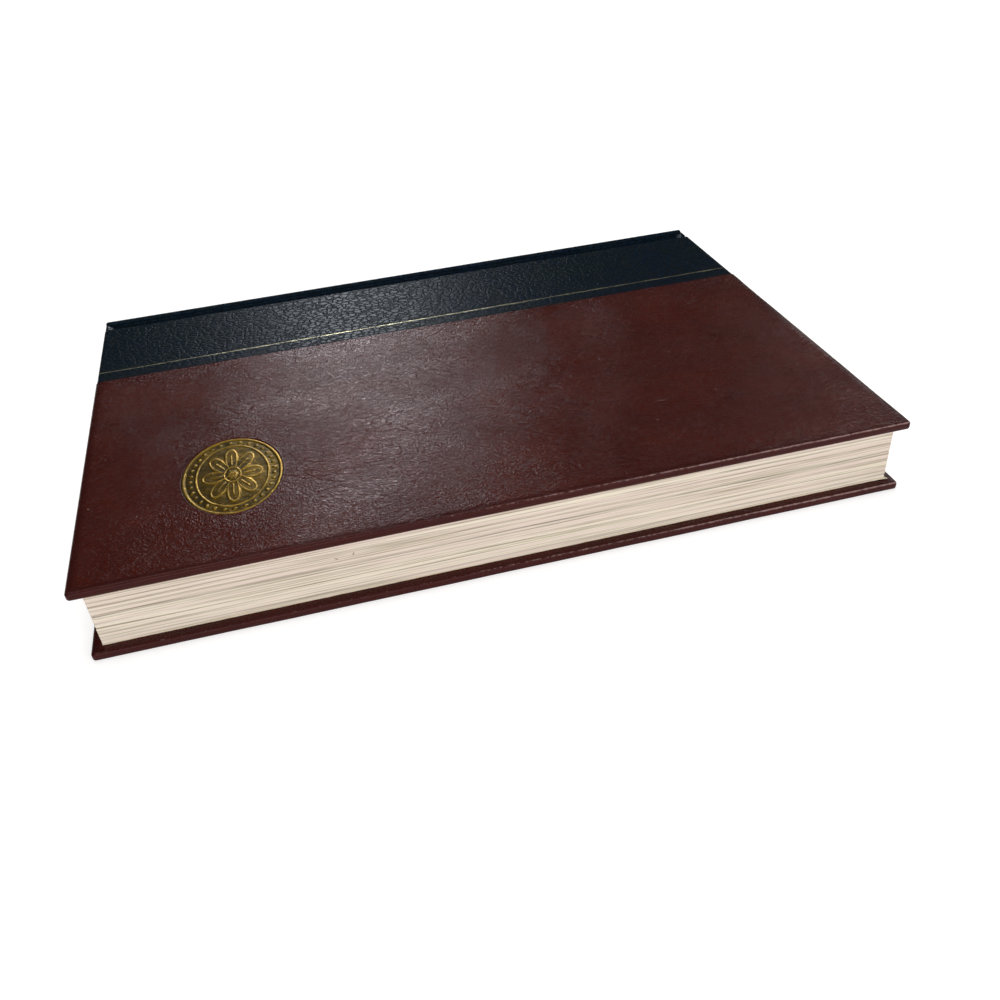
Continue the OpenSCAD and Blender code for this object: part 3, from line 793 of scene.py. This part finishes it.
print(len(outside), "places across the book, ridge", round(2e3 * ridge_r, 2), "mm wide")


# %% Roll at head and tail
def rolled(depth, half_length, turn_in, radius, gap):
    """Rows along X from tail to head of a sheet whose ends roll over by two quarter circles. Returns X and
    the share of the way from the outside (0) to the turned-in side (1), for each column's depth."""
    radius = np.minimum(radius, 0.48 * depth)
    reach = half_length - radius
    main, a = stations((0, gap), (1, 0))[:, None], quarter[:, None]
    inward = np.array([0.1, 0.5, 1.0])[:, None]
    x = np.concatenate([main * reach, reach + radius * np.sin(a[1:]), reach + radius * np.cos(a),
                        reach - (turn_in - radius) * inward])
    share = np.concatenate([0 * main * depth, radius * (1 - np.cos(a[1:])) / depth,
                            1 - radius * (1 - np.sin(a)) / depth, 1 + 0 * inward * depth])
    return np.concatenate([-x[::-1], x[1:]]), np.concatenate([share[::-1], share[1:]])


depth = np.hypot(turned_y - oy, turned_z - oz)
black_x, black_share = rolled(depth, black_ends, turn_in_width, edge_round, 1.25 * MM / black_half)
print(black_x.shape[0], "rows from tail to head")

# %% [markdown]
# At both ends of a groove the leather stands up in a small cuff, where it is pulled
# round the joint. The back edge of the cover is rubbed and uneven, and so is the crown
# of the ridge.

# %% Halves of the black leather
tool_dent, tool_width = 0.1 * MM, 0.5 * MM
cuff_height, cuff_length = 1.5 * MM, 2.4 * MM
black_seeds = (71, 91)


def black_swell(x, y, seed):
    """Swell of the black leather on the board, less the dent that the gold line's tool pressed in."""
    relief = 0.03 * MM * hide(x, y, 30 * MM, seed) + 0.02 * MM * hide(x, y, 7 * MM, seed + 1)
    return relief - tool_dent * bell(y, line_middle, tool_width)


def black_side(cover, side, seed):
    """The black leather of one cover, its joint and half of the spine. Each point is mixed from the outside
    and the turned-in path by its share; the cuff is a bell curve of the distance from the leather's end."""
    x = black_x
    y = oy + (turned_y - oy) * black_share
    z = oz + (turned_z - oz) * black_share
    outer = 1 - step(black_share, 0, 0.1)
    on_board = step(cover_back - oy, 0, 1.5 * MM) * (oy > seam)
    z = z + outer * on_board * black_swell(x, y, seed)
    back_edge = bell(oy, cover_back, 1.3 * MM) * (oz > joint_top + fillet)
    z = z - outer * back_edge * 0.08 * MM * (1 + hide(x, 0 * x, 11 * MM, seed + 2))
    groove = step(oy, cover_back + 0.6 * MM, cover_back + 2 * MM)
    groove = groove * (1 - step(oy, ridge_foot - 0.6 * MM, ridge_foot + 0.1 * MM))
    z = z + (1 - black_share) * groove * cuff_height * bell(black_half - np.abs(x), 0, cuff_length)
    crown = bell(oy - ridge_foot, ridge_r, 0.9 * MM) * (oz > black_top - 0.4 * MM)
    ends = bell(np.abs(x), black_half, 0.4 * MM)
    wear = (0.75 * crown + 0.9 * back_edge) * step(x, 0.03, 0.08) + 0.75 * ends * step(x, 0, 0.1)
    return thicken(surface(f"{cover}_black_leather", [grid(x, y, z)], {"wear": [wear]}, side), 0.8 * skin)


for (cover, side), seed in zip(covers, black_seeds):
    piece = dress(black_side(cover, side, seed), black, "black_leather", cover + "_leather_strip",
                  "spine_leather")
    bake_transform(piece)
    print(piece.name, len(piece.data.polygons), "faces")

# %% [markdown]
# ## Gold line
# A thin fillet of foil was rolled along the black leather with a warm tool. It dips
# with the leather, its edges waver a little, and it runs over both ends of the board.
# It is a ribbon on the same swell as the leather under it, 0.02 mm higher.

# %% Gold lines
foil = 0.08 * MM                     # thickness of the line's foil


def gold_line(cover, side, seed):
    """Ribbon along X: height follows the leather, falls as a quarter circle at both ends, and its two edges
    wander by 0.05 mm."""
    x = stations((-line_high[0], 0.1 * MM), (-black_half + 1.5 * MM, 0.8 * MM),
                 (black_half - 1.5 * MM, 0.1 * MM), (line_high[0], 0))[:, None]
    v = np.linspace(-1, 1, 7)[None, :]
    waver = 0.05 * MM * hide(x, v * 7 * MM, 9 * MM, seed + 9)
    y = line_middle + v * (line_half - 0.03 * MM) + waver * np.abs(v)
    over = np.clip(np.abs(x) - (black_half - edge_round), 0, 0.999 * edge_round)
    drop = edge_round - np.sqrt(edge_round ** 2 - over ** 2)
    z = black_top + black_swell(x, y, seed) * (1 - over / edge_round) - drop
    z = z + 0.02 * MM * (1 - v ** 2) + 0.01 * MM
    return thicken(surface(f"{cover}_gilt_line", [grid(x, y, z)], None, side), foil)


for (cover, side), seed in zip(covers, black_seeds):
    piece = dress(gold_line(cover, side, seed), line_gold, "gold_foil", cover + "_gold_line")
    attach(piece, cover + "_cover")
    print(piece.name, len(piece.data.polygons), "faces")

# %% [markdown]
# ## Gold seal
# The seal is one stamped relief: a rounded rim, a ring of beads, a fine inner line and
# an eight-petalled rosette round a boss. On the real cover all of it is the same sheet
# of foil, so it is one polar grid whose height is a function of the angle and of the
# distance from the rim.

# %% Gold seal
petals, beads = 8, 32
bead_inset, bead_half = 2.7 * MM, 0.75 * MM
rings = 6 * MM                       # width of the rim, the beads and the line together


def bead_row(angle, inset):
    """Domes at equal steps of the arc length, which is summed up along a finely divided oval."""
    fine = np.linspace(0, 2 * np.pi, 2001)
    a, b = seal_half - bead_inset
    run = np.append(0, np.cumsum(np.hypot(np.diff(a * np.cos(fine)), np.diff(b * np.sin(fine)))))
    along = np.interp(angle, fine, run) / run[-1] * beads
    off = (along - np.round(along)) * run[-1] / beads
    return rod(np.hypot(off, inset - bead_inset), bead_half)


def seal_relief():
    """Polar grid: columns run from the rim to the middle, first by equal insets from the oval, then by a
    shrinking scale. Height adds half-round rods (rim, line, ring, veins and the outline of the petals: the
    radial distance to it over the length of its gradient), beads and a boss. Their tops get a share of paler
    gold, partly burnish and partly painted highlight."""
    angle = np.linspace(0, 2 * np.pi, 721)[:, None]
    inset = stations((0, 0.14 * MM), (rings, 0))[None, :]
    scale = np.linspace(1, 0, 76)[None, 1:]
    size = seal_half[0] - rings
    x, y = (centre + np.concatenate([half - inset, (half - rings) * scale], 1) * wave
            for centre, half, wave in zip(seal_middle, seal_half, (np.cos(angle), np.sin(angle))))
    d = np.concatenate([inset, rings + (1 - scale) * size], 1)
    s = np.concatenate([1 + 0 * inset, scale], 1)
    rim, line, bead = rod(d - 0.6 * MM, 0.6 * MM), rod(d - 4.6 * MM, 0.35 * MM), bead_row(angle, d)
    edge = 0.93 * (0.42 + 0.58 * np.abs(np.cos(petals / 2 * angle)) ** 0.8)
    slope = np.gradient(edge[:, 0], angle[:, 0])[:, None] / np.maximum(s, 0.05)
    outline = rod((s - edge) * size / np.sqrt(1 + slope ** 2), 0.36 * MM) * (d > rings)
    petal = step(edge - s, 0, 0.1) * (d > rings)
    lobe = ((petals * angle / (2 * np.pi)) % 1 + 0.5) % 1 - 0.5
    vein = rod(lobe * 2 * np.pi / petals * s * size, 0.3 * MM)
    vein = vein * step(s, 0.3, 0.36) * (1 - step(s, 0.66, 0.74))
    boss, ring = rod(s, 0.17), rod((s - 0.26) * size, 0.32 * MM)
    relief = (0.18 * rim + 0.16 * bead + 0.1 * line + 0.06 * petal + 0.1 * outline + 0.07 * vein
              + 0.1 * ring + 0.14 * boss) * MM
    z = seal_low[2] - middle + 0.1 * MM + relief + 0.015 * MM * hide(x, y, 3.5 * MM, 7)
    # Share of paler gold on the tops: partly burnish, partly painted highlight.
    polish = (0.9 * rim ** 4 + 0.5 * bead ** 3 + line ** 2 + outline ** 2 + 0.8 * vein ** 2 + ring ** 2
              + 0.6 * boss)
    return thicken(surface("gilt_seal", [grid(x, y, z)], {"polish": [np.clip(polish, 0, 1)]}), 0.1 * MM)


piece = dress(seal_relief(), seal_gold, "gold_foil", "front_gold_seal")
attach(piece, "front_cover")
print(piece.name, len(piece.data.polygons), "faces")

# %% [markdown]
# ## Pages
# The block is hundreds of sewn and trimmed leaves. It is drawn as one closed surface:
# a path round the block, and a level every seventh of a millimetre. At each level the
# edge stands in or out by a few hundredths, slowly changing along the path, as leaves
# do. Between sections the edge sinks further, and that groove is also painted darker,
# as painted shade.

# %% Sections and specks
section_gaps = np.array([              # height above the floor at tail and head in mm, strength at each
    (4.7, 4.7, 0.55, 0.5), (7.5, 7.5, 0.5, 0.15), (9.4, 8.3, 0.6, 0.5), (10.8, 10.8, 0.25, 0.25),
    (12.8, 12.8, 0.5, 0.5), (13.6, 13.7, 0.8, 0.75), (14.1, 14.1, 0.5, 0.3), (15.6, 15.5, 0.15, 0.2),
    (17.5, 17.0, 0.55, 0.5), (19.0, 19.0, 0.35, 0.65), (20.4, 20.3, 0.3, 0.35), (21.6, 21.6, 0.2, 0.3)])
specks = ((-55.6, 16.6, -0.5), (-50.4, 17.2, 1.1))      # x and height in mm, slant in radians
gap_half, speck_half = 0.17, (0.5, 0.2)                 # mm


def section_gap(x, y, height):
    """Strength of the gaps: a bell curve of the height round each, which wanders and fades along the path."""
    share = np.clip(x / page_half, -1, 1) * 0.5 + 0.5
    total = 0
    for n, (tail, head, weak, strong) in enumerate(section_gaps):
        at = (tail + (head - tail) * share) * MM + 0.12 * MM * hide(x, y, 60 * MM, 30 + n)
        strength = (weak + (strong - weak) * share) * (0.8 + 0.25 * hide(x, y, 25 * MM, 60 + n))
        total = total + strength * bell(height, at, gap_half * MM)
    return total


print(len(section_gaps) + 1, "sections")


# %% Text block
def page_block():
    """Rows run round the block, columns up it, and both ends close on a point in the middle. The edge stands
    in by sine waves of six lengths with a random phase for each level, and by a share of the gaps."""
    level = stations((-page_level, 0.14 * MM), (page_level, 0))[None, :]
    fore_x = stations((-page_half, 0.3 * MM), (2 * MM - page_half, 1.7 * MM), (-58 * MM, 0.3 * MM),
                      (-48 * MM, 1.7 * MM), (page_half - 2 * MM, 0.3 * MM), (page_half, 0))
    side_y = stations((page_fore, 0.3 * MM), (page_fore + 2 * MM, 1.7 * MM), (page_back, 0))
    back_x = stations((page_half, 5 * MM), (-page_half, 0))
    x = np.concatenate([fore_x[:-1], 0 * side_y[:-1] + page_half, back_x[:-1], 0 * side_y - page_half])
    y = np.concatenate([0 * fore_x[:-1] + page_fore, side_y[:-1], 0 * back_x[:-1] + page_back, side_y[::-1]])
    x, y = x[:, None], y[:, None]
    out_x = np.where(np.abs(x) > page_half - 1e-6, np.sign(x), 0)
    out_y = np.where(y < page_fore + 1e-6, -1, 0) + np.where(y > page_back - 1e-6, 1, 0)
    rng = np.random.default_rng(5)
    phase = rng.uniform(0, 2 * np.pi, (6, level.size))
    waves = 2 * np.pi / (np.array([9, 17, 33, 61, 120, 260]) * MM)
    run = (x + y * 1.3)[:, :, None]
    stray = np.sin(run * waves + phase.T[None]).sum(-1) * 0.011 * MM + rng.normal(0, 0.016 * MM, level.size)
    height = middle + level
    gap = section_gap(x, y, height)
    inwards = np.clip(0.06 * MM + stray + 0.2 * MM * gap, 0, None)
    inwards = inwards * (1 - step(y, page_back - 1 * MM, page_back))
    gx, gy = x - out_x * inwards, y - out_y * inwards
    mark = 0 * gx
    for mx, mz, slant in specks:
        across = (gx / MM - mx) * math.cos(slant) + (height / MM - mz) * math.sin(slant)
        up = (height / MM - mz) * math.cos(slant) - (gx / MM - mx) * math.sin(slant)
        mark = mark + bell(across, 0, speck_half[0]) * bell(up, 0, speck_half[1]) * (out_y < 0)
    points = grid(capped(gx, 0), capped(gy, 0), np.pad(level, ((0, 0), (1, 1)), "edge"))
    fields = {"gap": [np.clip(capped(gap, 0), 0, 1)], "mark": [capped(mark, 0)]}
    return surface("page_block", [points], fields)


piece = dress(page_block(), pages_finish, "page_edges", "text_block")
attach(piece, "book_block")
print(piece.name, len(piece.data.polygons), "faces")

# %% [markdown]
# ## Endpapers
# Each endpaper is one folded sheet. One leaf lies loose on the pages, and the other is
# pasted to the cover, so the steps of the turned-in leather and of the mull show
# through it.

# %% Loose and pasted leaves
leaf_top = page_level + 0.2 * MM
paste_level = paste_low[2] - middle
sheet_half = paste_high[0]
window_depth = 0.28 * MM


def pasted_leaf(cover, side):
    """Grid over the cover and the joint, facing the pages. It lies deeper inside the window between the
    turn-ins and the mull, and falls to the pages behind the cover's back edge."""
    y = stations((paste_low[1], 0.4 * MM), (fore + turn_in_width + 1 * MM, 3 * MM), (seam, 0.6 * MM),
                 (cover_back - 1.2 * MM, 0.06 * MM), (cover_back + 0.8 * MM, 0.7 * MM), (page_back, 0))
    edge = half_height - turn_in_width
    x = stations((-sheet_half, 0.8 * MM), (-edge - 1 * MM, 0.2 * MM), (1 * MM - edge, 3 * MM),
                 (edge - 1 * MM, 0.2 * MM), (edge + 1 * MM, 0.8 * MM), (sheet_half, 0))
    x, y = x[None, :], y[:, None]
    window = 1
    for inside in (edge - np.abs(x), y - fore - turn_in_width, cover_back - flange_width - y):
        window = window * step(inside, -0.2 * MM, 0.5 * MM)
    fall = (paste_level - leaf_top - 0.02 * MM) * step(y, cover_back, cover_back + 1.2 * MM)
    z = paste_level + window_depth * window - fall + 0.008 * MM * hide(x, y, 22 * MM, 3)
    return thicken(surface(f"{cover}_pasted_leaf", [grid(x, y, z)], None, side), paper)


def loose_leaf(cover, side):
    """Sheet on the pages; at the head fore corner of the lowest one it flares out by a millimetre."""
    y = stations((page_fore, 0.5 * MM), (page_fore + 6 * MM, 4 * MM), (page_back, 0))[None, :]
    x = stations((-page_half, 4 * MM), (page_half - 6 * MM, 0.5 * MM), (page_half, 0))[:, None]
    corner = np.exp(-np.hypot(x - page_half, y - page_fore) / (2.5 * MM)) * (side < 0)
    points = grid(x + 0.9 * MM * corner, y - 0.7 * MM * corner, leaf_top)
    return thicken(surface(f"{cover}_loose_leaf", [points], None, side), paper)


for cover, side in covers:
    pasted = dress(pasted_leaf(cover, side), endpaper, "endpaper", cover + "_pastedown")
    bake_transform(pasted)
    loose = dress(loose_leaf(cover, side), endpaper, "endpaper", cover + "_endpaper")
    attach(loose, "book_block")
    print(pasted.name, len(pasted.data.polygons), "faces,", loose.name, len(loose.data.polygons))

# %% [markdown]
# ## Headbands
# A headband is a cord wound with silk in two colours, glued to the back of the block by
# a tape. The winding is a tube whose radius rises and falls along a helix, eight wraps
# to a stripe, and the tape is a thin strip behind the pages.

# %% Headbands
core = 0.9 * MM                      # radius over the winding
wrap_pitch, stripe_pitch = 0.6 * MM, 4.8 * MM


def headband(name, end):
    """Tube along Z with one bulge of the radius for each wrap of a helix; end is 1 at the head, -1 at the
    tail. One more row at each end closes it."""
    cx, cy = band_high[0] - core, band_low[1] + core
    z = stations((-page_level, 0.1 * MM), (page_level, 0))[None, :]
    around = np.linspace(0, 2 * np.pi, 21)[:, None]
    wrap = np.abs(np.sin(np.pi * (z / wrap_pitch + around / (2 * np.pi))))
    radius = core * (0.84 + 0.16 * wrap ** 0.6)
    x, y = capped(cx + radius * np.cos(around), cx), capped(cy + radius * np.sin(around), cy)
    tall = np.pad(z, ((0, 0), (1, 1)), "edge")
    stripe = step(np.sin(2 * np.pi * (tall / stripe_pitch + around / (2 * np.pi) / 8)), -0.1, 0.1)
    tx, tz = np.meshgrid([band_low[0], cx], [-page_level, page_level], indexing="ij")
    tube, tape = grid(end * x, y, tall), grid(end * tx, band_high[1], tz)
    grids = [tube, tape[::-1]] if end > 0 else [tube[::-1], tape]
    stripe = stripe if end > 0 else stripe[::-1]
    return surface(f"{name}_band_silk", grids, {"stripe": [stripe, 0 * tx]})


for name, end in (("head", 1), ("tail", -1)):
    piece = thicken(dress(headband(name, end), silk, "headband_cloth", name + "_headband"), 0.2 * MM)
    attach(piece, "book_block")
    print(piece.name, len(piece.data.polygons), "faces")

# %% [markdown]
# ## Pieces kept as they are
# The boards, the card in the spine, the mull and its lining are flat pieces whose
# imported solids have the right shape. They keep it and only get their finish.

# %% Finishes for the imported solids
kept = {"front_board": greyboard, "back_board": greyboard, "spine_card": greyboard, "spine_lining": kraft,
        "spine_mull": mull, "front_mull_flange": mull, "back_mull_flange": mull}
for node, material in kept.items():
    for slot in bpy.data.objects[node].material_slots:
        slot.material = material
print("kept:", ", ".join(kept))

# %% [markdown]
# ## Floor
# A plain pale table. Its own colour gives the soft shadow and the light that it throws
# back on the edges. What the camera and mirrors see of it is lifted to white by
# Light Path, so that the background is white without more light on the book, and more
# so far away, where the lamps don't reach.

# %% Floor
def floor_finish():
    """Pale grey, lifted for camera, glossy and transmission rays by a share that grows with the distance."""
    material, add, shader, place = finish("plain_white_table", {
        "Roughness": 0.9, "Specular IOR Level": 0.1, "Base Color": "#cccccc", "Emission Color": "#ffffff"})
    far = add("VectorMath", {"operation": "LENGTH", 0: place}, "Value")
    path = add("LightPath", {}).node.outputs
    seen = add("Math", {"operation": "MAXIMUM", 0: path["Is Camera Ray"], 1: path["Is Glossy Ray"]})
    seen = add("Math", {"operation": "MAXIMUM", 0: seen, 1: path["Is Transmission Ray"]})
    lift = add("Math", {"operation": "MULTIPLY", 0: seen, 1: add("MapRange", [far, 0.5, 2, 0.62, 1])})
    fill(shader, {"Emission Strength": lift})
    return material


reach = 20                           # metres each way, past the horizon of a low view
table = bpy.data.meshes.new("table")
table.from_pydata([(-reach, -reach, 0), (reach, -reach, 0), (reach, reach, 0), (-reach, reach, 0)],
                  [], [(0, 1, 2, 3)])
table.materials.append(floor_finish())
table_top = bpy.data.objects.new("table", table)
scene.collection.objects.link(table_top)
print("table at height 0")
